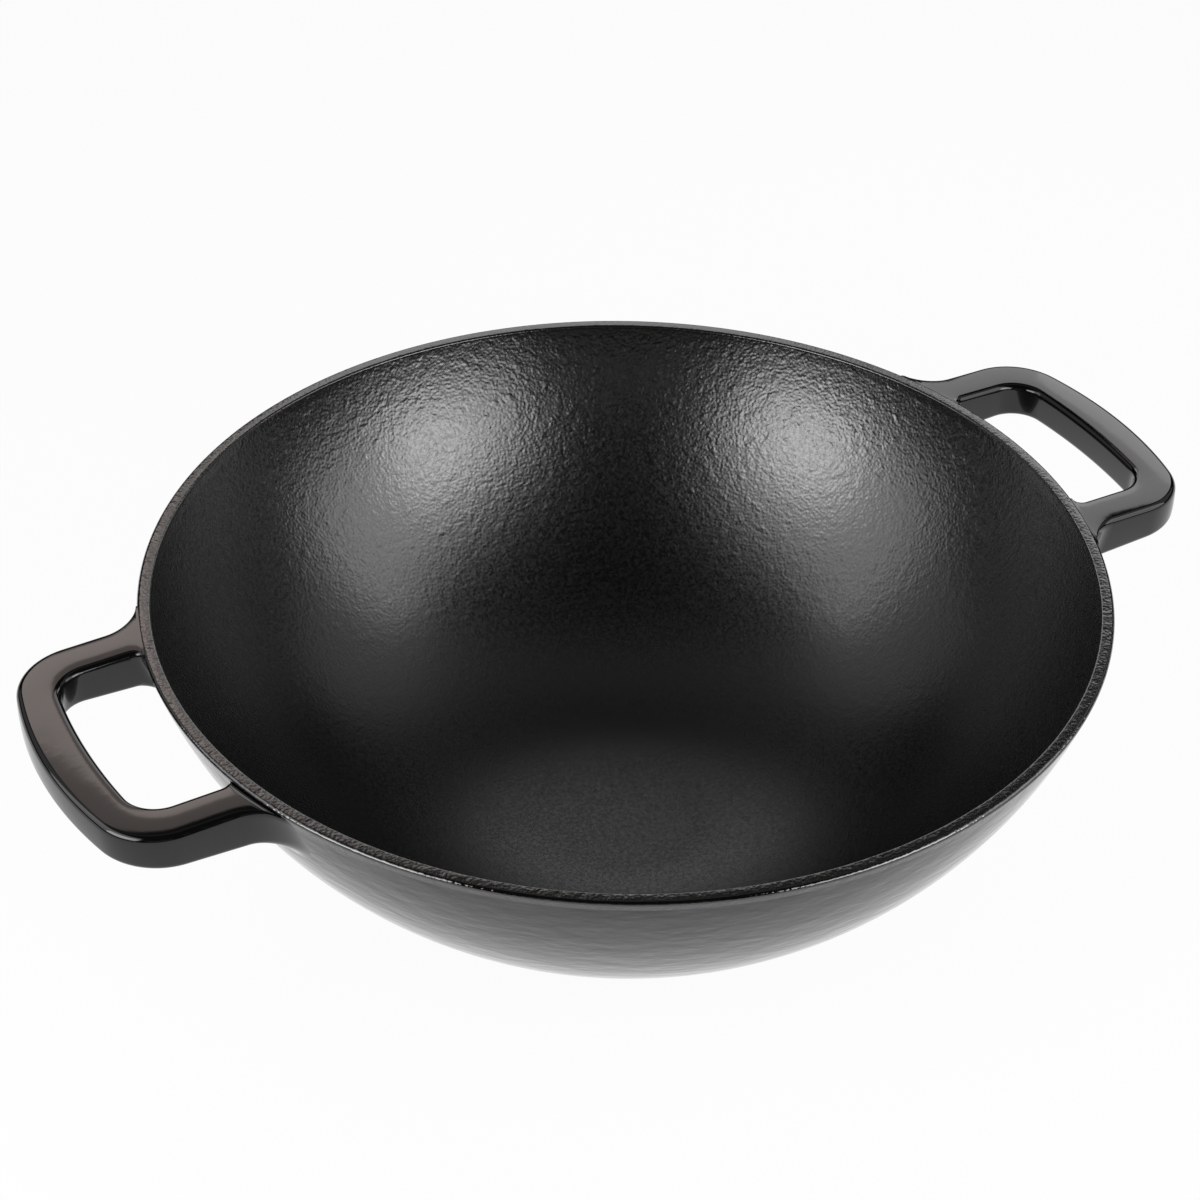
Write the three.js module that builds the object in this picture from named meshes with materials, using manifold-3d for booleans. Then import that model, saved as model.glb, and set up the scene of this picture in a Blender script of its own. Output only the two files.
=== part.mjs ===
// Cast iron wok: an enamelled bowl with a rounded rim, a flat standing pad and two loop handles.
// Millimetres, +Z up. The origin is the middle of the standing face; the handles lie along X.

import * as THREE from 'three';
import { mergeVertices } from 'three/addons/utils/BufferGeometryUtils.js';
import Module from 'manifold-3d';

const wasm = await Module();
wasm.setup();

// Bowl
const RIM_RADIUS = 185; // widest circle, where the outer wall ends under the rounded rim
const BODY_HEIGHT = 124.5; // flat underside of the bowl to the top of the rim
const BASE_RADIUS = 69; // edge of the flat underside
const WALL_BULGE = 19.7; // how far the wall bows out from the straight line between its two edges
const IRON_WALL = 4.8;
const IRON_FLOOR = 4.2;
const FLOOR_BLEND = 140; // radius that rounds the inside of the wall into the floor

// Rim
const RIM_HEIGHT = 4;
const RIM_ROUND = 1.4;

// Matte enamel fired onto the inside
const ENAMEL_THICKNESS = 0.4;
const ENAMEL_SEAM = 0.05; // a hair's breadth that keeps the coat and the iron from sharing faces

// Standing pad, dished in the middle so that it stands on a ring
const PAD_LEDGE = 3; // from the edge of the bowl's underside in to the pad
const PAD_HEIGHT = 2.5;
const PAD_ROUND = 1.2;
const PAD_RING_WIDTH = 12;
const PAD_DISH = 1;

// Loop handles, in plan
const HANDLE_REACH = 50; // from the rim to the outer edge of the grip
const HANDLE_WIDTH = 117.5; // across both arms
const ARM_WIDTH = 16.8;
const GRIP_WIDTH = 17;
const GRIP_OUTER_BOW = 11.2; // rise of the grip's outer edge over the handle's width
const GRIP_INNER_BOW = 3.4; // rise of its inner edge over the finger gap
const OUTER_CORNER = 25;
const INNER_CORNER = 13;
const ROOT_FLARE = 11.5; // hollow fillet where an arm's outer side runs into the bowl
const ROOT_INNER_FILLET = 5; // the same in the corners of the finger gap
const ROOT_UNDER_FILLET = 10; // the same from an arm's underside down the wall
const ROOT_SWEEP = 76; // degrees that these fillets turn before they meet the wall

// Loop handles, in height: both faces taper towards the grip
const ROOT_DROP = 0.5; // top of the rim down to the handle's top face
const GRIP_DROP = 1.4;
const ROOT_THICKNESS = 16.6;
const GRIP_THICKNESS = 13.4;
const HANDLE_ROUND = 2.6; // rounding along every edge of the bar
const ROOT_GAP = 0.3; // between a handle's root and the bowl

// Facets
const TURN_SEGMENTS = 64;
const WALL_STEPS = 11;
const BLEND_STEPS = 6;
const ROUND_STEPS = 4;
const CORNER_STEPS = 8;
const GRIP_STEPS = 5;
const ROOT_STEPS = 6;
const MERGE_DISTANCE = 1e-4; // corners nearer than this are one corner

const GLOSS_ENAMEL = { color: 0x121212, roughness: 0.18, metalness: 0 };
const MATTE_ENAMEL = { color: 0x161616, roughness: 0.55, metalness: 0 };
const SATIN_ENAMEL = { color: 0x242322, roughness: 0.45, metalness: 0 };

// Heights and the arc that the wall follows
const RIM_TOP = PAD_HEIGHT + BODY_HEIGHT;
const RIM_EDGE = RIM_TOP - RIM_ROUND;
const RIM_SEAT = RIM_TOP - RIM_HEIGHT;
const FLOOR = PAD_HEIGHT + IRON_FLOOR;
const PAD_RADIUS = BASE_RADIUS - PAD_LEDGE;
const LINED_WALL = IRON_WALL + ENAMEL_THICKNESS;
const BASE_EDGE_POINT = new THREE.Vector2(BASE_RADIUS, PAD_HEIGHT);
const RIM_EDGE_POINT = new THREE.Vector2(RIM_RADIUS, RIM_EDGE);
const WALL_RADIUS = bowRadius(BASE_EDGE_POINT.distanceTo(RIM_EDGE_POINT), WALL_BULGE);
const WALL_CENTRE = wallCentre();

// Radius of the arc that rises by rise over a chord
function bowRadius(chord, rise) {
  return (chord * chord) / (8 * rise) + rise / 2;
}

// Centre of the wall's arc in the plane of radius and height, on the inner side of its chord
function wallCentre() {
  const along = RIM_EDGE_POINT.clone().sub(BASE_EDGE_POINT).normalize();
  const inwards = new THREE.Vector2(-along.y, along.x);
  const middle = BASE_EDGE_POINT.clone().lerp(RIM_EDGE_POINT, 0.5);
  return middle.addScaledVector(inwards, WALL_RADIUS - WALL_BULGE);
}

// Angle, about the wall's centre, at which the wall set in by inset reaches a height
function wallAngle(height, inset) {
  return Math.asin((height - WALL_CENTRE.y) / (WALL_RADIUS - inset));
}

// Points of an arc in the plane of radius and height
function arc(centre, radius, from, to, steps) {
  const points = [];
  for (let i = 0; i <= steps; i += 1) {
    const angle = from + ((to - from) * i) / steps;
    points.push(new THREE.Vector2(centre.x + radius * Math.cos(angle), centre.y + radius * Math.sin(angle)));
  }
  return points;
}

// Points of the wall, set in from its outer face, from one height to another
function wall(inset, from, to, steps) {
  return arc(WALL_CENTRE, WALL_RADIUS - inset, wallAngle(from, inset), wallAngle(to, inset), steps);
}

function onAxis(height) {
  return new THREE.Vector2(0, height);
}

// Points down the inside, set in from the wall's outer face: the wall, its blend and the floor to the axis
function inside(inset, floor) {
  const radius = FLOOR_BLEND + IRON_WALL - inset;
  const fromCentre = WALL_RADIUS - inset - radius;
  const angle = Math.asin((floor + radius - WALL_CENTRE.y) / fromCentre);
  const centre = new THREE.Vector2(WALL_CENTRE.x + fromCentre * Math.cos(angle), floor + radius);
  const blend = arc(centre, radius, angle, -Math.PI / 2, BLEND_STEPS);
  return [...wall(inset, RIM_SEAT, blend[0].y, WALL_STEPS), ...blend.slice(1), onAxis(floor)];
}

// A profile of radius and height, listed from the bottom up its outer side, turned about Z
function turn(points) {
  return new THREE.LatheGeometry(points, TURN_SEGMENTS).rotateX(Math.PI / 2);
}

function closedLoop(points) {
  return [...points, points[0]];
}

function bowlGeometry() {
  return turn([
    onAxis(PAD_HEIGHT),
    ...wall(0, PAD_HEIGHT, RIM_SEAT, WALL_STEPS),
    ...inside(IRON_WALL, FLOOR),
  ]);
}

function liningGeometry() {
  return turn([
    ...inside(IRON_WALL + ENAMEL_SEAM, FLOOR + ENAMEL_SEAM).reverse(),
    ...inside(LINED_WALL, FLOOR + ENAMEL_THICKNESS),
  ]);
}

function rimGeometry() {
  const outer = wall(0, RIM_SEAT, RIM_EDGE, 1);
  const inner = wall(LINED_WALL, RIM_EDGE, RIM_SEAT, 1);
  const outerCentre = new THREE.Vector2(RIM_RADIUS - RIM_ROUND, RIM_EDGE);
  const innerCentre = new THREE.Vector2(inner[0].x + RIM_ROUND, RIM_EDGE);
  return turn(closedLoop([
    outer[0],
    ...arc(outerCentre, RIM_ROUND, 0, Math.PI / 2, ROUND_STEPS),
    ...arc(innerCentre, RIM_ROUND, Math.PI / 2, Math.PI, ROUND_STEPS),
    inner[1],
  ]));
}

function padGeometry() {
  const edgeCentre = new THREE.Vector2(PAD_RADIUS - PAD_ROUND, PAD_ROUND);
  const dishRadius = PAD_RADIUS - PAD_RING_WIDTH;
  return turn([
    onAxis(PAD_DISH),
    new THREE.Vector2(dishRadius - PAD_DISH, PAD_DISH),
    new THREE.Vector2(dishRadius, 0),
    ...arc(edgeCentre, PAD_ROUND, -Math.PI / 2, 0, ROUND_STEPS),
    new THREE.Vector2(PAD_RADIUS, PAD_HEIGHT),
    onAxis(PAD_HEIGHT),
  ]);
}

// Heights of a handle's two faces at a distance from the wok's axis
function handleFaces(x) {
  const along = (x - RIM_RADIUS) / HANDLE_REACH;
  const top = RIM_TOP - THREE.MathUtils.lerp(ROOT_DROP, GRIP_DROP, along);
  const thickness = THREE.MathUtils.lerp(ROOT_THICKNESS, GRIP_THICKNESS, along);
  return { top, bottom: top - thickness };
}

// The points round a section of the bar, each with its corner and the way it faces: across and up
function sectionSpots() {
  const spots = [];
  for (let corner = 0; corner < 4; corner += 1) {
    for (let i = 0; i <= ROUND_STEPS; i += 1) {
      const angle = ((corner + i / ROUND_STEPS) * Math.PI) / 2;
      const outer = corner === 0 || corner === 3 ? 1 : -1;
      spots.push({ outer, top: corner < 2, across: Math.cos(angle), up: Math.sin(angle) });
    }
  }
  return spots;
}

// How far a spot lies outwards from its own side of the bar, which is negative on the outer side
function fromSide(spot) {
  return HANDLE_ROUND * (spot.across - spot.outer);
}

function spotHeight(spot, x) {
  const faces = handleFaces(x);
  return spot.top ? faces.top - HANDLE_ROUND * (1 - spot.up) : faces.bottom + HANDLE_ROUND * (1 + spot.up);
}

// A ring round the bar between two points of its plan
function barRing(outer, inner) {
  const across = outer.clone().sub(inner).normalize();
  return sectionSpots().map((spot) => {
    const side = spot.outer > 0 ? outer : inner;
    const plan = side.clone().addScaledVector(across, fromSide(spot));
    return new THREE.Vector3(plan.x, plan.y, spotHeight(spot, side.x));
  });
}

// Radius of the hollow fillet at a spot: the top face stays flat, so its corners only move sideways
function rootFillet(spot) {
  const sideways = spot.outer > 0 ? ROOT_FLARE : ROOT_INNER_FILLET;
  return spot.top ? sideways : spot.across ** 2 * sideways + spot.up ** 2 * ROOT_UNDER_FILLET;
}

// Where a line along X, at a place across and a height, comes within a distance of the bowl's wall
function wallX(y, z, distance) {
  const radius = WALL_CENTRE.x + Math.sqrt((WALL_RADIUS + distance) ** 2 - (z - WALL_CENTRE.y) ** 2);
  return Math.sqrt(radius ** 2 - y ** 2);
}

// A ring where the arm on the +Y side runs into the wall, some angle round its hollow fillets
function rootRing(turned, buried) {
  return sectionSpots().map((spot) => {
    const fillet = rootFillet(spot);
    const swell = fillet * (1 - Math.cos(turned));
    const toWall = fillet * (1 - Math.sin(turned)) - buried;
    const side = HANDLE_WIDTH / 2 - (spot.outer > 0 ? 0 : ARM_WIDTH);
    const y = side + fromSide(spot) + swell * (spot.top ? spot.outer : spot.across);
    const drop = spot.top ? 0 : swell * spot.up;
    const level = wallX(y, spotHeight(spot, RIM_RADIUS) + drop, toWall);
    const z = spotHeight(spot, level) + drop;
    return new THREE.Vector3(wallX(y, z, toWall), y, z);
  });
}

// Plan points of one side of half a handle: round the corner from the arm, then to the grip's middle
function halfSide(arm, corner, bow, bowX) {
  const cornerY = arm - corner;
  const meet = Math.asin(cornerY / (bow - corner));
  const cornerCentre = new THREE.Vector2(bowX + (bow - corner) * Math.cos(meet), cornerY);
  return [
    ...arc(cornerCentre, corner, Math.PI / 2, meet, CORNER_STEPS),
    ...arc(new THREE.Vector2(bowX, 0), bow, meet, 0, GRIP_STEPS).slice(1),
  ];
}

// Rings from one root round the grip to the other
function handleRings() {
  const end = RIM_RADIUS + HANDLE_REACH;
  const gapWidth = HANDLE_WIDTH - 2 * ARM_WIDTH;
  const outerBow = bowRadius(HANDLE_WIDTH, GRIP_OUTER_BOW);
  const innerBow = bowRadius(gapWidth, GRIP_INNER_BOW);
  const outer = halfSide(HANDLE_WIDTH / 2, OUTER_CORNER, outerBow, end - outerBow);
  const inner = halfSide(gapWidth / 2, INNER_CORNER, innerBow, end - GRIP_WIDTH - innerBow);
  const sweep = THREE.MathUtils.degToRad(ROOT_SWEEP);
  const rings = [rootRing(sweep, IRON_WALL)];
  for (let i = ROOT_STEPS; i >= 0; i -= 1) {
    rings.push(rootRing((sweep * i) / ROOT_STEPS, 0));
  }
  rings.push(...outer.map((point, i) => barRing(point, inner[i])));
  const otherHalf = rings.slice(0, -1).reverse();
  return [...rings, ...otherHalf.map((ring) => ring.map((point) => new THREE.Vector3(point.x, -point.y, point.z)))];
}

// A closed body through a row of rings of equally many points
function loft(rings) {
  const size = rings[0].length;
  const points = rings.flat();
  const triangles = [];
  for (let ring = 0; ring < rings.length - 1; ring += 1) {
    for (let i = 0; i < size; i += 1) {
      const here = ring * size + i;
      const next = ring * size + ((i + 1) % size);
      triangles.push(here, next, here + size, next, next + size, here + size);
    }
  }
  const last = points.length - size;
  for (let i = 1; i < size - 1; i += 1) {
    triangles.push(0, i + 1, i);
    triangles.push(last, last + i, last + i + 1);
  }
  const geometry = new THREE.BufferGeometry().setFromPoints(points);
  geometry.setIndex(triangles);
  return geometry;
}

// What the bowl and rim fill, grown by the gap that the handles keep from them
function bowlEnvelope() {
  const above = RIM_TOP + ROOT_THICKNESS;
  return turn([
    onAxis(PAD_HEIGHT),
    ...wall(-ROOT_GAP, PAD_HEIGHT, RIM_SEAT, WALL_STEPS),
    ...wall(-ROOT_GAP, RIM_SEAT, RIM_EDGE, 1),
    new THREE.Vector2(RIM_RADIUS + ROOT_GAP, above),
    onAxis(above),
  ]);
}

// A closed geometry as a solid that can be joined and cut
function solid(geometry) {
  const bare = geometry.clone();
  bare.deleteAttribute('normal');
  bare.deleteAttribute('uv');
  const merged = mergeVertices(bare, MERGE_DISTANCE);
  const corners = merged.getIndex().array;
  const triangles = [];
  for (let i = 0; i < corners.length; i += 3) {
    const [a, b, c] = corners.slice(i, i + 3);
    if (a !== b && b !== c && c !== a) {
      triangles.push(a, b, c);
    }
  }
  return new wasm.Manifold(new wasm.Mesh({
    numProp: 3,
    vertProperties: new Float32Array(merged.getAttribute('position').array),
    triVerts: new Uint32Array(triangles),
  }));
}

function geometryOf(body) {
  const { vertProperties, triVerts } = body.getMesh();
  const geometry = new THREE.BufferGeometry();
  geometry.setAttribute('position', new THREE.BufferAttribute(vertProperties, 3));
  geometry.setIndex(new THREE.BufferAttribute(triVerts, 1));
  geometry.computeVertexNormals();
  return geometry;
}

function handleGeometry() {
  const bar = loft(handleRings());
  return geometryOf(solid(bar).subtract(solid(bowlEnvelope())));
}

function piece(name, geometry, finish) {
  const mesh = new THREE.Mesh(geometry, new THREE.MeshStandardMaterial(finish));
  mesh.name = name;
  return mesh;
}

const wok = new THREE.Group();
wok.name = 'cast_iron_wok';
wok.add(piece('bowl', bowlGeometry(), GLOSS_ENAMEL));
wok.add(piece('inner_enamel', liningGeometry(), MATTE_ENAMEL));
wok.add(piece('rim_band', rimGeometry(), SATIN_ENAMEL));
wok.add(piece('standing_pad', padGeometry(), GLOSS_ENAMEL));

const rightHandle = piece('right_handle', handleGeometry(), GLOSS_ENAMEL);
const leftHandle = piece('left_handle', handleGeometry(), GLOSS_ENAMEL);
leftHandle.rotation.z = Math.PI;
wok.add(rightHandle, leftHandle);

export default wok;
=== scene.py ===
import math

import bmesh
import bpy
from mathutils import Matrix, Vector


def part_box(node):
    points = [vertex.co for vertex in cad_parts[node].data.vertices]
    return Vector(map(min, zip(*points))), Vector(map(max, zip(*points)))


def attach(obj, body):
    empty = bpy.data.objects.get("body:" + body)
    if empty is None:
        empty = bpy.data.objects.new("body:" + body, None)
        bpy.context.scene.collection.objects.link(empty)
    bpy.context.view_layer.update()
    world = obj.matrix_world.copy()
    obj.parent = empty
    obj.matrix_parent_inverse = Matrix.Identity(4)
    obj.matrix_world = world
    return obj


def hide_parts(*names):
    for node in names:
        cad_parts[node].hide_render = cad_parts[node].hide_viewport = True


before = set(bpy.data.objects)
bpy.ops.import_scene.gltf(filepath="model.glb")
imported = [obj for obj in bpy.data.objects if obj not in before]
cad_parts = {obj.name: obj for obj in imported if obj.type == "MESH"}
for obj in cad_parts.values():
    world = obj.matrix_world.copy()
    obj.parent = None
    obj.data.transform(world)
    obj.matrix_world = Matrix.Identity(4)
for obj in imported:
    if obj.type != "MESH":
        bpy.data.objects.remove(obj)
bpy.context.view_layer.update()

MM = 0.001

# Bowl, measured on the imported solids
RIM_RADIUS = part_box("rim_band")[1].x / MM
RIM_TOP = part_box("rim_band")[1].z / MM
RIM_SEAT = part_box("bowl")[1].z / MM
PAD_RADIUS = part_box("standing_pad")[1].x / MM
PAD_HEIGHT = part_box("standing_pad")[1].z / MM
HANDLE_BOX_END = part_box("right_handle")[1].x / MM

# Bowl, as it is cast
BASE_RADIUS = 69
WALL_BULGE = 19.7
IRON_WALL = 4.8
IRON_FLOOR = 4.2
FLOOR_BLEND = 140
ENAMEL_THICKNESS = 0.4
ENAMEL_SEAM = 0.05
RIM_OUTER_ROUND = 1.4
RIM_INNER_ROUND = 1.0
BASE_BLEND = 6
PAD_ROUND = 1.2
PAD_RING_WIDTH = 12
PAD_DISH = 1
DISH_SLOPE = 2

# Loop handles
HANDLE_WIDTH = 117.5
ARM_WIDTH = 16.8
GRIP_WIDTH = 17
GRIP_OUTER_BOW = 11.2
GRIP_INNER_BOW = 3.4
OUTER_CORNER = 25
INNER_CORNER = 13
ROOT_FLARE = 11.5
ROOT_INNER_FILLET = 5
ROOT_UNDER_FILLET = 10
ROOT_SWEEP = math.radians(89)
ROOT_BURIED = 1.5
ROOT_GROOVE = 1.8
ROOT_GROOVE_WIDTH = 2.5
ROOT_DROP = 0.5
GRIP_DROP = 1.4
ROOT_THICKNESS = 16.6
GRIP_THICKNESS = 13.4
HANDLE_ROUND = 2.6
FACE_CROWN = 0.15

# Fineness of the meshes
TURN_STEPS = 256
WALL_STEPS = 64
ROUND_STEPS = 8
BLEND_STEPS = 32
ROOT_STEPS = 16
CORNER_STEPS = 20
GRIP_STEPS = 16
FACE_STEPS = 4
MERGE_DISTANCE = 0.001
SMOOTH_ANGLE = math.radians(35)

# Camera, fitted to the rim circle and the handles in the photograph
PICTURE_SIZE = 1200
RIM_CENTRE_PIXEL = (625.9, 576.1)
CAMERA_AZIMUTH = math.radians(-29.66)
CAMERA_ELEVATION = math.radians(36.75)
CAMERA_ROLL = math.radians(0.96)
CAMERA_DEPTH = 1128.1
CAMERA_LENS = 88.7
SENSOR_WIDTH = 36
CLIP_NEAR = 10
CLIP_FAR = 100000

# Finishes: the gloss is plain glass, the matte and satin coats are rich in metal oxides
GLOSS_INDEX = 1.5
OXIDE_INDEX = 1.8
GLOSS_COLOUR = "#0b0a0a"
MATTE_COLOUR = "#050505"
RIM_COLOUR = "#121110"
GLOSS_ROUGHNESS = 0.08
PEEL_LENGTH = 14
PEEL_HEIGHT = 6
PEEL_DEPTH = 0.35
PEEL_DETAIL = 3
HANDLE_PEEL_DEPTH = 0.04
PEBBLE_SIZE = 1.2
LUMP_SIZE = 3.2
LUMP_SHARE = 0.9
PIT_SIZE = 4.5
PIT_EDGE = 0.54
PIT_BOTTOM = 0.76
PIT_SHARE = 0.7
PEBBLE_DEPTH_FLOOR = 0.03
PEBBLE_DEPTH_WALL = 0.11
SMOOTH_BELOW = 15
PEBBLED_ABOVE = 100
SPECKLE_SIZE = 1.5
SPECKLE = 0.055
SPECKLE_SPREAD = 0.2
SPECKLE_CRISPNESS = 0.9
FLOOR_ROUGHNESS = 0.4
WALL_ROUGHNESS = 0.27
FLOOR_BELOW = 10
WALL_ABOVE = 45
GLOSS_EDGE = 184.4
GLOSS_EDGE_WANDER = 4
GLOSS_EDGE_RAGGED = 0.5
GLOSS_EDGE_DETAIL = 3
GLOSS_EDGE_BLUR = 0.1
RIM_ROUGHNESS = 0.22
RIM_GLOSS_ROUGHNESS = 0.07
RIM_PEBBLE_DEPTH = 0.09

# Studio
FLOOR_SIZE = 20000
FLOOR_DROP = 0.1
FLOOR_GLOW = 0.95
FLOOR_COLOUR = "#f4f4f4"
WORLD_COLOUR = "#0c0c0c"

# Softboxes: angle from the camera's side, elevation, distance, width, height, radiance (1 is white) and tint
SOFTBOXES = {
    "front": (0, 14, 1300, 800, 320, 0.2, "#ffffff"),
    "left_key": (-50, 22, 800, 500, 320, 5.2, "#ffffff"),
    "right_key": (51, 22, 800, 530, 320, 4.7, "#ffffff"),
    "left_fill": (-69, 29, 750, 760, 520, 1.8, "#ffffff"),
    "right_fill": (75, 26, 750, 700, 480, 2.1, "#ffffff"),
    "left_wall": (-112, 32, 1300, 800, 900, 0.4, "#ffffff"),
    "right_wall": (114, 33, 1300, 900, 800, 0.4, "#ffffff"),
    "left_back": (-156.5, 35.8, 3000, 740, 520, 1.6, "#fff0ea"),
    "left_back_top": (-158.5, 40, 3000, 900, 860, 1, "#fff0ea"),
    "right_back": (152.6, 24, 750, 277, 190, 1.9, "#ffffff"),
    "right_back_low": (149, 20.5, 750, 200, 125, 0.7, "#ffffff"),
    "back_centre": (-178, 28, 1300, 520, 560, 1.6, "#ffffff"),
    "top": (180, 72, 1300, 2200, 440, 0.15, "#ffffff"),
}

# Lamps that are for the handles and are kept off the inside
HANDLE_LAMPS = ("left_back", "left_back_top", "right_back", "right_back_low")

RIM_EDGE = RIM_TOP - RIM_OUTER_ROUND
FLOOR = PAD_HEIGHT + IRON_FLOOR
LINED_WALL = IRON_WALL + ENAMEL_THICKNESS
HANDLE_END = HANDLE_BOX_END - FACE_CROWN
HANDLE_REACH = HANDLE_END - RIM_RADIUS


def lerp(start, end, share):
    return start + (end - start) * share


def bow_radius(chord, rise):
    """Radius of the arc that rises by rise over a chord."""
    return chord * chord / (8 * rise) + rise / 2


def arc(centre, radius, start, end, steps):
    """Points of an arc, from one angle to another."""
    points = []
    for i in range(steps + 1):
        angle = lerp(start, end, i / steps)
        points.append(centre + radius * Vector((math.cos(angle), math.sin(angle))))
    return points


def wall_arc():
    """Centre and radius of the arc that the outer wall follows, in the plane of radius and height."""
    base_edge = Vector((BASE_RADIUS, PAD_HEIGHT))
    rim_edge = Vector((RIM_RADIUS, RIM_EDGE))
    chord = rim_edge - base_edge
    radius = bow_radius(chord.length, WALL_BULGE)
    inwards = Vector((-chord.y, chord.x)).normalized()
    return (base_edge + rim_edge) / 2 + inwards * (radius - WALL_BULGE), radius


WALL_CENTRE, WALL_RADIUS = wall_arc()


def wall(inset, low, high, steps):
    """Points of the wall, set in from its outer face, from one height to another."""
    radius = WALL_RADIUS - inset
    start = math.asin((low - WALL_CENTRE.y) / radius)
    end = math.asin((high - WALL_CENTRE.y) / radius)
    return arc(WALL_CENTRE, radius, start, end, steps)


def on_axis(height):
    return Vector((0, height))


def inside(inset, floor):
    """Points down the inside, set in from the wall's outer face: the wall, its blend and the floor."""
    radius = FLOOR_BLEND + IRON_WALL - inset
    from_centre = WALL_RADIUS - inset - radius
    angle = math.asin((floor + radius - WALL_CENTRE.y) / from_centre)
    centre = Vector((WALL_CENTRE.x + from_centre * math.cos(angle), floor + radius))
    rounded = arc(centre, radius, angle, -math.pi / 2, BLEND_STEPS)
    return [*wall(inset, RIM_SEAT, rounded[0].y, WALL_STEPS), *rounded[1:], on_axis(floor)]


def blend(start, corner, end):
    """Points that round a corner off, from start to end."""
    points = []
    for i in range(BLEND_STEPS + 1):
        share = i / BLEND_STEPS
        points.append(start.lerp(corner, share).lerp(corner.lerp(end, share), share))
    return points


def begin_piece(name, primitive, **shape):
    """Adds a primitive and opens it for editing, with nothing else selected."""
    bpy.ops.object.select_all(action="DESELECT")
    primitive(**shape)
    piece = bpy.context.object
    piece.name = name
    piece.data.name = name
    bpy.ops.object.mode_set(mode="EDIT")
    return piece


def end_piece():
    """Closes the mesh that is open, points its faces outwards and smooths it."""
    bpy.ops.mesh.select_all(action="SELECT")
    bpy.ops.mesh.remove_doubles(threshold=MERGE_DISTANCE * MM)
    bpy.ops.mesh.normals_make_consistent(inside=False)
    bpy.ops.object.mode_set(mode="OBJECT")
    bpy.ops.object.shade_smooth_by_angle(angle=SMOOTH_ANGLE)


def set_on_model(piece, node, material):
    """Gives a piece its finish and lets it stand for a node of the model."""
    piece.data.materials.clear()
    piece.data.materials.append(material)
    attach(piece, "root")
    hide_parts(node)


def turned_piece(name, points):
    """Draws a profile of radius and height from one corner to the next and spins it about Z."""
    piece = begin_piece(name, bpy.ops.mesh.primitive_plane_add, size=MM)
    bpy.ops.mesh.merge(type="CENTER")
    bpy.ops.transform.translate(value=(points[0].x * MM, 0, points[0].y * MM))
    for here, there in zip(points, points[1:]):
        step = (there - here) * MM
        bpy.ops.mesh.extrude_region_move(TRANSFORM_OT_translate={"value": (step.x, 0, step.y)})
    bpy.ops.mesh.select_all(action="SELECT")
    bpy.ops.mesh.spin(steps=TURN_STEPS, angle=2 * math.pi, center=(0, 0, 0), axis=(0, 0, 1))
    end_piece()
    return piece


def bowl_profile():
    outer = wall(0, PAD_HEIGHT, RIM_SEAT, WALL_STEPS)
    corner = outer[0]
    start = corner - Vector((BASE_BLEND, 0))
    rounded = [point for point in outer if (point - corner).length > BASE_BLEND]
    return [
        on_axis(PAD_HEIGHT),
        *blend(start, corner, rounded[0]),
        *rounded[1:],
        *inside(IRON_WALL, FLOOR),
    ]


def lining_profile():
    return [
        *reversed(inside(IRON_WALL + ENAMEL_SEAM, FLOOR + ENAMEL_SEAM)),
        *inside(LINED_WALL, FLOOR + ENAMEL_THICKNESS),
    ]


def rim_profile():
    outer = wall(0, RIM_SEAT, RIM_EDGE, ROUND_STEPS)
    inner = wall(LINED_WALL, RIM_TOP - RIM_INNER_ROUND, RIM_SEAT, ROUND_STEPS)
    outer_centre = Vector((RIM_RADIUS - RIM_OUTER_ROUND, RIM_EDGE))
    inner_centre = inner[0] + Vector((RIM_INNER_ROUND, 0))
    return [
        *outer,
        *arc(outer_centre, RIM_OUTER_ROUND, 0, math.pi / 2, ROUND_STEPS)[1:],
        *arc(inner_centre, RIM_INNER_ROUND, math.pi / 2, math.pi, ROUND_STEPS),
        *inner[1:],
        outer[0],
    ]


def foot_profile():
    edge_centre = Vector((PAD_RADIUS - PAD_ROUND, PAD_ROUND))
    dish_edge = Vector((PAD_RADIUS - PAD_RING_WIDTH, 0))
    dish_corner = dish_edge + Vector((-DISH_SLOPE * PAD_DISH, PAD_DISH))
    slope_middle = (dish_edge + dish_corner) / 2
    reach = Vector((PAD_DISH, 0))
    return [
        on_axis(PAD_DISH),
        *blend(dish_corner - reach, dish_corner, slope_middle),
        *blend(slope_middle, dish_edge, dish_edge + reach)[1:],
        *arc(edge_centre, PAD_ROUND, -math.pi / 2, 0, ROUND_STEPS),
        Vector((PAD_RADIUS, PAD_HEIGHT)),
        on_axis(PAD_HEIGHT),
    ]


def handle_faces(x):
    """Heights of a handle's top and bottom face at a distance from the wok's axis."""
    along = (x - RIM_RADIUS) / HANDLE_REACH
    top = RIM_TOP - lerp(ROOT_DROP, GRIP_DROP, along)
    return top, top - lerp(ROOT_THICKNESS, GRIP_THICKNESS, along)


class Spot:
    """A point round a section of the bar: how far it lies towards the outer side and the top, from 0 to 1,
    its offset from there, and the way it faces."""

    def __init__(self, outer, top, offset, facing):
        self.outer = outer
        self.top = top
        self.offset = offset
        self.facing = facing


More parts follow.
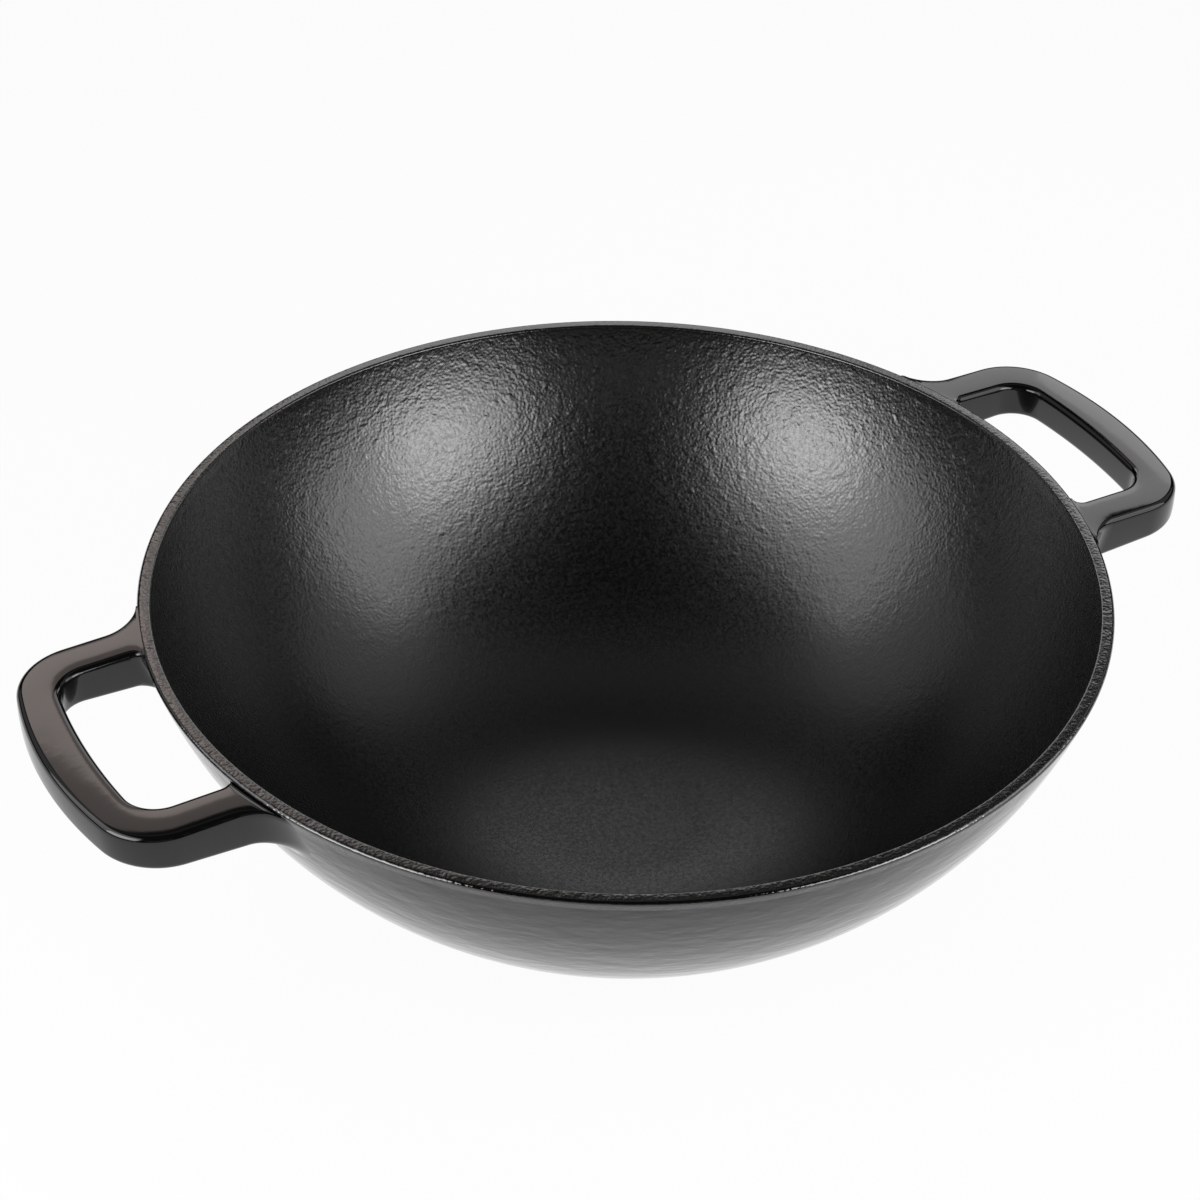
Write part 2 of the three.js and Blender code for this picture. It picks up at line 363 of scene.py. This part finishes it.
def section_spots():
    """Points round the bar: four rounded corners with a slightly crowned face after each."""
    corners = [(1, 1), (0, 1), (0, 0), (1, 0)]
    spots = []
    for index, (outer, top) in enumerate(corners):
        away = Vector((2 * outer - 1, 2 * top - 1))
        for i in range(ROUND_STEPS + 1):
            angle = (index + i / ROUND_STEPS) * math.pi / 2
            facing = Vector((math.cos(angle), math.sin(angle)))
            spots.append(Spot(outer, top, HANDLE_ROUND * (facing - away), facing))
        last = spots[-1]
        next_outer, next_top = corners[(index + 1) % len(corners)]
        next_away = Vector((2 * next_outer - 1, 2 * next_top - 1))
        next_offset = HANDLE_ROUND * (last.facing - next_away)
        for i in range(1, FACE_STEPS):
            share = i / FACE_STEPS
            crown = last.facing * FACE_CROWN * 4 * share * (1 - share)
            offset = last.offset.lerp(next_offset, share) + crown
            to_outer = lerp(outer, next_outer, share)
            to_top = lerp(top, next_top, share)
            spots.append(Spot(to_outer, to_top, offset, last.facing))
    return spots


SECTION = section_spots()


def spot_height(spot, x):
    top, bottom = handle_faces(x)
    return lerp(bottom, top, spot.top) + spot.offset.y


def bar_ring(outer, inner):
    """A ring round the bar between two points of its plan."""
    across = (outer - inner).normalized()
    ring = []
    for spot in SECTION:
        side = inner.lerp(outer, spot.outer)
        plan = side + across * spot.offset.x
        ring.append(Vector((plan.x, plan.y, spot_height(spot, side.x))))
    return ring


def root_swell(spot):
    """Radius of the hollow fillet at a spot, and the way the bar swells there. The top face stays flat."""
    sideways = lerp(ROOT_INNER_FILLET, ROOT_FLARE, spot.outer)
    if spot.top > 0:
        return sideways, Vector((2 * spot.outer - 1, 0))
    return spot.facing.x ** 2 * sideways + spot.facing.y ** 2 * ROOT_UNDER_FILLET, spot.facing


def wall_x(y, z, distance):
    """Where a line along X, at a place across and a height, comes within a distance of the bowl's wall."""
    radius = WALL_CENTRE.x + math.sqrt((WALL_RADIUS + distance) ** 2 - (z - WALL_CENTRE.y) ** 2)
    return math.sqrt(radius ** 2 - y ** 2)


def root_ring(turned, buried, groove):
    """A ring where the arm on the +Y side runs into the wall, some angle round its hollow fillets."""
    ring = []
    outer_side = HANDLE_WIDTH / 2
    for spot in SECTION:
        fillet, way = root_swell(spot)
        swell = way * fillet * (1 - math.cos(turned))
        to_wall = fillet * (1 - math.sin(turned)) - buried
        y = lerp(outer_side - ARM_WIDTH, outer_side, spot.outer) + spot.offset.x + swell.x
        level = wall_x(y, spot_height(spot, RIM_RADIUS) + swell.y, to_wall)
        in_groove = max(0, 1 - to_wall / ROOT_GROOVE_WIDTH)
        z = spot_height(spot, level) + swell.y - spot.top * groove * in_groove ** 2
        ring.append(Vector((wall_x(y, z, to_wall), y, z)))
    return ring


def root_rings(groove):
    """Rings of one root, from inside the wall to the arm, with a groove of some depth along the rim."""
    rings = [root_ring(ROOT_SWEEP, ROOT_BURIED, groove)]
    for i in range(ROOT_STEPS, -1, -1):
        rings.append(root_ring(ROOT_SWEEP * i / ROOT_STEPS, 0, groove))
    return rings


def half_side(arm, corner, bow, bow_x):
    """Plan points of one side of half a handle: round the corner from the arm, then to the grip's middle."""
    corner_y = arm - corner
    meet = math.asin(corner_y / (bow - corner))
    corner_centre = Vector((bow_x + (bow - corner) * math.cos(meet), corner_y))
    return [
        *arc(corner_centre, corner, math.pi / 2, meet, CORNER_STEPS),
        *arc(Vector((bow_x, 0)), bow, meet, 0, GRIP_STEPS)[1:],
    ]


def handle_rings(groove):
    """Rings from one root, which has a groove of some depth, round the grip to the other."""
    gap_width = HANDLE_WIDTH - 2 * ARM_WIDTH
    outer_bow = bow_radius(HANDLE_WIDTH, GRIP_OUTER_BOW)
    inner_bow = bow_radius(gap_width, GRIP_INNER_BOW)
    outer = half_side(HANDLE_WIDTH / 2, OUTER_CORNER, outer_bow, HANDLE_END - outer_bow)
    inner = half_side(gap_width / 2, INNER_CORNER, inner_bow, HANDLE_END - GRIP_WIDTH - inner_bow)
    bar = [bar_ring(*pair) for pair in zip(outer, inner)]
    across = Matrix.Diagonal((1, -1, 1))
    other_half = [[across @ point for point in ring] for ring in root_rings(0) + bar[:-1]]
    return root_rings(groove) + bar + other_half[::-1]


def place_ring(piece, before, after):
    """Moves the selected corners from the points of one ring to those of the next."""
    mesh = bmesh.from_edit_mesh(piece.data)
    for corner in mesh.verts:
        if corner.select:
            nearest = min(range(len(before)), key=lambda i: (corner.co - before[i]).length_squared)
            corner.co = after[nearest]
    bmesh.update_edit_mesh(piece.data)


def handle_piece(name, groove):
    """A handle on +X: a section extruded from ring to ring, from one root round to the other."""
    circle = bpy.ops.mesh.primitive_circle_add
    piece = begin_piece(name, circle, vertices=len(SECTION), radius=MM, fill_type="NGON")
    before = [corner.co.copy() for corner in bmesh.from_edit_mesh(piece.data).verts]
    for index, ring in enumerate(handle_rings(groove)):
        after = [point * MM for point in ring]
        if index:
            bpy.ops.mesh.extrude_region_move()
        place_ring(piece, before, after)
        before = after
    end_piece()
    return piece


def turn_round(piece):
    """Turns a handle round to the other side of the bowl."""
    bpy.ops.object.select_all(action="DESELECT")
    piece.select_set(True)
    bpy.context.view_layer.objects.active = piece
    bpy.ops.transform.rotate(value=math.pi, orient_axis="Z", center_override=(0, 0, 0))
    bpy.ops.object.transform_apply(location=True, rotation=True, scale=True)


def srgb(code):
    """A hex colour as linear red, green, blue and alpha."""
    channels = [int(code[i:i + 2], 16) / 255 for i in (1, 3, 5)]
    return (*[c / 12.92 if c <= 0.04045 else ((c + 0.055) / 1.055) ** 2.4 for c in channels], 1)


def add_node(tree, kind, inputs=None, **settings):
    """Adds a node with its settings. An input that is given a socket is linked to it."""
    node = tree.nodes.new(kind)
    for name, value in settings.items():
        setattr(node, name, value)
    for name, value in (inputs or {}).items():
        if isinstance(value, bpy.types.NodeSocket):
            tree.links.new(value, node.inputs[name])
        else:
            node.inputs[name].default_value = value
    return node


def begin_material(name):
    material = bpy.data.materials.new(name)
    material.use_nodes = True
    tree = material.node_tree
    tree.nodes.clear()
    return material, tree


def gloss_enamel(name, depth):
    """Vitreous enamel, sprayed on iron and fired to a gloss: black glass with a slight orange peel."""
    material, tree = begin_material(name)
    place = add_node(tree, "ShaderNodeTexCoord").outputs["Object"]
    per_length = 1 / (PEEL_LENGTH * MM)
    per_height = 1 / (PEEL_HEIGHT * MM)
    flow = add_node(tree, "ShaderNodeMapping", {
        "Vector": place, "Scale": (per_length, per_length, per_height)})
    peel = add_node(tree, "ShaderNodeTexNoise", {
        "Vector": flow.outputs["Vector"], "Scale": 1, "Detail": PEEL_DETAIL})
    bump = add_node(tree, "ShaderNodeBump", {"Height": peel.outputs["Fac"], "Distance": depth * MM})
    shader = add_node(tree, "ShaderNodeBsdfPrincipled", {
        "Base Color": srgb(GLOSS_COLOUR), "Roughness": GLOSS_ROUGHNESS, "IOR": GLOSS_INDEX,
        "Normal": bump.outputs["Normal"]})
    add_node(tree, "ShaderNodeOutputMaterial", {"Surface": shader.outputs["BSDF"]})
    return material


def noise(tree, place, size, **more):
    """Noise whose features are about a size across."""
    return add_node(tree, "ShaderNodeTexNoise", {
        "Vector": place, "Scale": 1 / (size * MM), **more}).outputs["Fac"]


def cast_relief(tree, place):
    """Height of the pebbles, lumps and pits that sand-cast iron shows through thin enamel."""
    pebble = noise(tree, place, PEBBLE_SIZE, Detail=0)
    lump = noise(tree, place, LUMP_SIZE, Detail=1)
    pit = add_node(tree, "ShaderNodeMapRange", {
        "Value": noise(tree, place, PIT_SIZE, Detail=1), "From Min": PIT_EDGE, "From Max": PIT_BOTTOM,
        "To Min": 0, "To Max": -PIT_SHARE})
    relief = add_node(tree, "ShaderNodeMath", {0: lump, 1: LUMP_SHARE, 2: pebble}, operation="MULTIPLY_ADD")
    return add_node(tree, "ShaderNodeMath", {
        0: relief.outputs["Value"], 1: pit.outputs["Result"]}, operation="ADD").outputs["Value"]


def matte_enamel():
    """Matte enamel, fired onto sand-cast iron: near black, pebbled up the wall, duller on the floor."""
    material, tree = begin_material("matte_black_enamel")
    place = add_node(tree, "ShaderNodeTexCoord").outputs["Object"]
    height = add_node(tree, "ShaderNodeSeparateXYZ", {"Vector": place}).outputs["Z"]
    depth = add_node(tree, "ShaderNodeMapRange", {
        "Value": height, "From Min": SMOOTH_BELOW * MM, "From Max": PEBBLED_ABOVE * MM,
        "To Min": PEBBLE_DEPTH_FLOOR * MM, "To Max": PEBBLE_DEPTH_WALL * MM}, interpolation_type="SMOOTHSTEP")
    bump = add_node(tree, "ShaderNodeBump", {
        "Height": cast_relief(tree, place), "Distance": depth.outputs["Result"]})
    speckle = add_node(tree, "ShaderNodeMapRange", {
        "Value": noise(tree, place, SPECKLE_SIZE, Detail=1, Roughness=SPECKLE_CRISPNESS),
        "From Min": 0.5 - SPECKLE_SPREAD, "From Max": 0.5 + SPECKLE_SPREAD,
        "To Min": -SPECKLE, "To Max": SPECKLE})
    rough = add_node(tree, "ShaderNodeMapRange", {
        "Value": height, "From Min": FLOOR_BELOW * MM, "From Max": WALL_ABOVE * MM,
        "To Min": FLOOR_ROUGHNESS, "To Max": WALL_ROUGHNESS}, interpolation_type="SMOOTHSTEP")
    rough = add_node(tree, "ShaderNodeMath", {
        0: rough.outputs["Result"], 1: speckle.outputs["Result"]}, operation="ADD")
    shader = add_node(tree, "ShaderNodeBsdfPrincipled", {
        "Base Color": srgb(MATTE_COLOUR), "Roughness": rough.outputs["Value"], "IOR": OXIDE_INDEX,
        "Normal": bump.outputs["Normal"]})
    add_node(tree, "ShaderNodeOutputMaterial", {"Surface": shader.outputs["BSDF"]})
    return material


def rim_enamel():
    """Thin ground-coat enamel on the rim: a satin grey land, with the gloss coat ending on its outer edge."""
    material, tree = begin_material("satin_rim_enamel")
    place = add_node(tree, "ShaderNodeTexCoord").outputs["Object"]
    flat = add_node(tree, "ShaderNodeMapping", {"Vector": place, "Scale": (1, 1, 0)})
    radius = add_node(tree, "ShaderNodeVectorMath", {0: flat.outputs["Vector"]}, operation="LENGTH")
    wander = noise(tree, place, GLOSS_EDGE_WANDER, Detail=GLOSS_EDGE_DETAIL)
    ragged = add_node(tree, "ShaderNodeMath", {
        0: wander, 1: GLOSS_EDGE_RAGGED * MM, 2: radius.outputs["Value"]}, operation="MULTIPLY_ADD")
    gloss = add_node(tree, "ShaderNodeMapRange", {
        "Value": ragged.outputs["Value"],
        "From Min": (GLOSS_EDGE - GLOSS_EDGE_BLUR) * MM, "From Max": (GLOSS_EDGE + GLOSS_EDGE_BLUR) * MM})
    colour = add_node(tree, "ShaderNodeMix", {
        "Factor": gloss.outputs["Result"], "A": srgb(RIM_COLOUR), "B": srgb(GLOSS_COLOUR)}, data_type="RGBA")
    rough = add_node(tree, "ShaderNodeMapRange", {
        "Value": gloss.outputs["Result"], "To Min": RIM_ROUGHNESS, "To Max": RIM_GLOSS_ROUGHNESS})
    bump = add_node(tree, "ShaderNodeBump", {
        "Height": cast_relief(tree, place), "Distance": RIM_PEBBLE_DEPTH * MM})
    shader = add_node(tree, "ShaderNodeBsdfPrincipled", {
        "Base Color": colour.outputs["Result"], "Roughness": rough.outputs["Result"], "IOR": OXIDE_INDEX,
        "Normal": bump.outputs["Normal"]})
    add_node(tree, "ShaderNodeOutputMaterial", {"Surface": shader.outputs["BSDF"]})
    return material


def studio_floor():
    """White sweep: shows the eye and the gloss a white table, with a faint part of its real shade."""
    material, tree = begin_material("white_sweep")
    ray = add_node(tree, "ShaderNodeLightPath").outputs
    seen = add_node(tree, "ShaderNodeMath", {
        0: ray["Is Camera Ray"], 1: ray["Is Glossy Ray"]}, operation="ADD")
    seen = add_node(tree, "ShaderNodeMath", {
        0: seen.outputs["Value"], 1: ray["Is Transmission Ray"]}, operation="ADD", use_clamp=True)
    share = add_node(tree, "ShaderNodeMath", {0: seen.outputs["Value"], 1: FLOOR_GLOW}, operation="MULTIPLY")
    matte = add_node(tree, "ShaderNodeBsdfDiffuse", {"Color": srgb(FLOOR_COLOUR)})
    white = add_node(tree, "ShaderNodeEmission", {"Color": srgb("#ffffff"), "Strength": 1})
    mix = add_node(tree, "ShaderNodeMixShader", {
        0: share.outputs["Value"], 1: matte.outputs["BSDF"], 2: white.outputs["Emission"]})
    add_node(tree, "ShaderNodeOutputMaterial", {"Surface": mix.outputs["Shader"]})
    return material


def make_floor():
    bpy.ops.object.select_all(action="DESELECT")
    bpy.ops.mesh.primitive_plane_add(size=FLOOR_SIZE * MM, location=(0, 0, -FLOOR_DROP * MM))
    floor = bpy.context.object
    floor.name = "studio_floor"
    floor.data.materials.append(studio_floor())


def towards(azimuth, elevation):
    """Unit vector out from the wok. Azimuth 0 is -Y and 90 degrees is +X."""
    level = math.cos(elevation)
    return Vector((math.sin(azimuth) * level, -math.cos(azimuth) * level, math.sin(elevation)))


def make_softbox(name, side, elevation, distance, width, height, radiance, tint):
    """A soft lamp that faces the middle of the rim."""
    lamp = bpy.data.lights.new(name, "AREA")
    lamp.shape = "RECTANGLE"
    lamp.size = width * MM
    lamp.size_y = height * MM
    lamp.energy = radiance * math.pi * lamp.size * lamp.size_y
    lamp.color = srgb(tint)[:3]
    holder = bpy.data.objects.new(name, lamp)
    holder.visible_camera = False
    out = towards(CAMERA_AZIMUTH + math.radians(side), math.radians(elevation))
    holder.location = Vector((0, 0, RIM_TOP * MM)) + out * distance * MM
    holder.rotation_euler = out.to_track_quat("Z", "Y").to_euler()
    bpy.context.scene.collection.objects.link(holder)
    return holder


def keep_off(lamp, piece):
    """Keeps a lamp's light off one piece, as a flag on a stand does."""
    shaded = bpy.data.collections.new(lamp.name + "_flag")
    shaded.objects.link(piece)
    shaded.collection_objects[0].light_linking.link_state = "EXCLUDE"
    lamp.light_linking.receiver_collection = shaded


def make_camera():
    """The photograph's camera: the rim's centre lies at its pixel and depth."""
    back = towards(CAMERA_AZIMUTH, CAMERA_ELEVATION)
    level_right = Vector((0, 0, 1)).cross(back).normalized()
    level_up = back.cross(level_right)
    right = math.cos(CAMERA_ROLL) * level_right + math.sin(CAMERA_ROLL) * level_up
    up = math.cos(CAMERA_ROLL) * level_up - math.sin(CAMERA_ROLL) * level_right
    focal_pixels = CAMERA_LENS / SENSOR_WIDTH * PICTURE_SIZE
    aside = (RIM_CENTRE_PIXEL[0] - PICTURE_SIZE / 2) / focal_pixels
    above = (PICTURE_SIZE / 2 - RIM_CENTRE_PIXEL[1]) / focal_pixels
    rim_centre = Vector((0, 0, RIM_EDGE))
    place = rim_centre + (back - aside * right - above * up) * CAMERA_DEPTH
    data = bpy.data.cameras.new("camera")
    data.lens = CAMERA_LENS
    data.sensor_width = SENSOR_WIDTH
    data.clip_start = CLIP_NEAR * MM
    data.clip_end = CLIP_FAR * MM
    camera = bpy.data.objects.new("camera", data)
    camera.matrix_world = Matrix.Translation(place * MM) @ Matrix((right, up, back)).transposed().to_4x4()
    bpy.context.scene.collection.objects.link(camera)
    bpy.context.scene.camera = camera


def make_world():
    world = bpy.data.worlds.new("studio")
    bpy.context.scene.world = world
    world.use_nodes = True
    backdrop = world.node_tree.nodes["Background"]
    backdrop.inputs["Color"].default_value = srgb(WORLD_COLOUR)
    backdrop.inputs["Strength"].default_value = 1


make_camera()
gloss = gloss_enamel("gloss_black_enamel", PEEL_DEPTH)
handle_gloss = gloss_enamel("gloss_black_enamel_handles", HANDLE_PEEL_DEPTH)
set_on_model(turned_piece("bowl_shell", bowl_profile()), "bowl", gloss)
cooking_surface = turned_piece("cooking_surface", lining_profile())
set_on_model(cooking_surface, "inner_enamel", matte_enamel())
set_on_model(turned_piece("rim", rim_profile()), "rim_band", rim_enamel())
set_on_model(turned_piece("foot", foot_profile()), "standing_pad", gloss)
set_on_model(handle_piece("right_loop_handle", 0), "right_handle", handle_gloss)
left_loop_handle = handle_piece("left_loop_handle", ROOT_GROOVE)
turn_round(left_loop_handle)
set_on_model(left_loop_handle, "left_handle", handle_gloss)

make_floor()
make_world()
for lamp_name, settings in SOFTBOXES.items():
    softbox = make_softbox(lamp_name, *settings)
    if lamp_name in HANDLE_LAMPS:
        keep_off(softbox, cooking_surface)

bpy.context.scene.view_settings.view_transform = "Standard"
